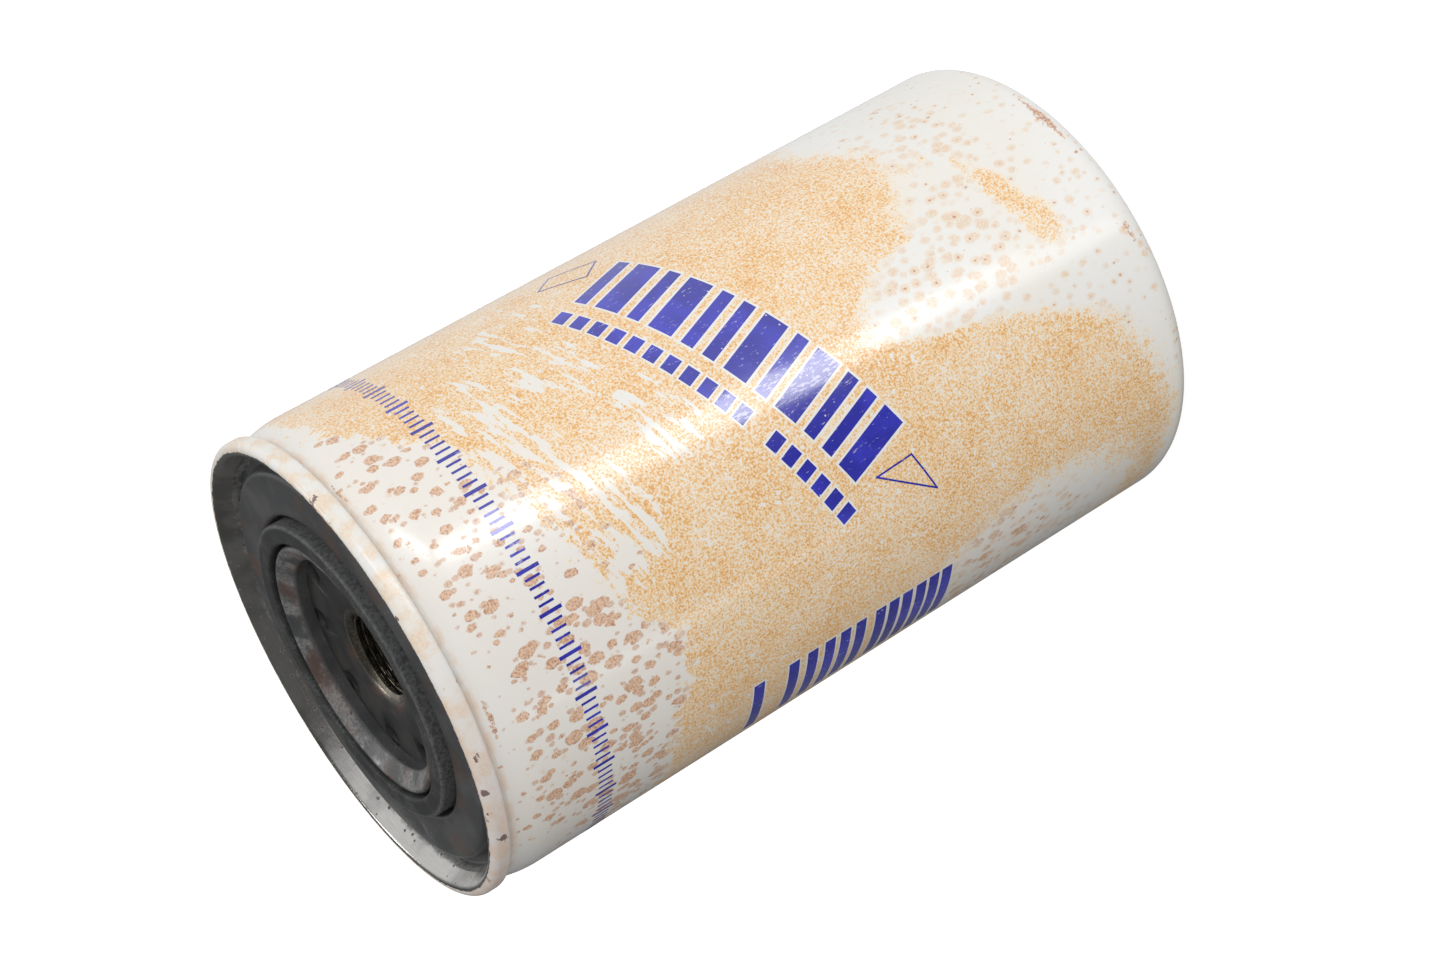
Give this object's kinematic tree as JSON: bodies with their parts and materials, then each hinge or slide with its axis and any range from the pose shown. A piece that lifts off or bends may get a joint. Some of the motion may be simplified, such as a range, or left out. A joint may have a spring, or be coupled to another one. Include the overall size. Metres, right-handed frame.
{
  "type": "spin-on oil filter",
  "caption": "Canister spin-on oil filter with a threaded base plate, face gasket, pleated element, anti-drain-back flap and sprung bypass valve.",
  "frame": {"origin": "centre of the closed end's foot, the lowest plane of the can", "axes": "+Z along the filter's axis, from the closed end to the threaded end; X and Y are across the can, with an inlet hole 15 degrees from +X"},
  "size_m": [0.108, 0.108, 0.19],
  "materials": {
    "can_enamel": "glossy white enamel over drawn steel, covered with fine orange-tan rust staining",
    "lid_paint": "worn dark grey satin coating with bare steel on the crest and the inner lip",
    "seam_compound": "dried seam sealing compound",
    "plate_steel": "dark oiled steel, bare in the thread",
    "gasket_rubber": "matte dark grey nitrile rubber",
    "valve_rubber": "matte black nitrile rubber",
    "plated_sheet": "tin-plated stamped steel sheet",
    "potting": "cured dark red plastisol adhesive",
    "filter_paper": "resin-treated yellow-tan filter paper",
    "glue_bead": "hot-melt glue bead",
    "poppet_nylon": "natural moulded nylon",
    "spring_steel": "oiled spring wire"
  },
  "bodies": {
    "casing": {"can_shell": "can_enamel", "seaming_lid": "lid_paint", "seam_compound": "seam_compound", "base_plate": "plate_steel", "gasket": "gasket_rubber", "drain_back_hub": "valve_rubber", "support_spring": "spring_steel"},
    "drain_flap": {"drain_back_flap": "valve_rubber"},
    "element": {"top_end_cap": "plated_sheet", "top_potting": "potting", "pleated_media": "filter_paper", "pleat_clip": "plated_sheet", "media_wrap": "glue_bead", "centre_tube": "plated_sheet", "bottom_potting": "potting", "bottom_end_cap": "plated_sheet", "bypass_seat": "plated_sheet", "bypass_cage": "plated_sheet", "spring_seat": "plated_sheet", "bypass_spring": "spring_steel"},
    "poppet": {"bypass_poppet": "poppet_nylon", "poppet_seal": "gasket_rubber"}
  },
  "joints": [
    {"name": "element_float", "type": "slide", "parent": "casing", "child": "element", "axis": [0, 0, -1], "range_m": [0, 0.0015], "stiffness_N_per_m": 6000, "springref_m": -0.008, "deforming": ["support_spring"]},
    {"name": "bypass_lift", "type": "slide", "parent": "element", "child": "poppet", "axis": [0, 0, 1], "range_m": [0, 0.004], "stiffness_N_per_m": 3000, "springref_m": -0.012, "deforming": ["bypass_spring"]},
    {"name": "flap_lift", "type": "slide", "parent": "casing", "child": "drain_flap", "axis": [0, 0, -1], "range_m": [0, 0.0015], "stiffness_N_per_m": 400, "springref_m": -0.002}
  ]
}
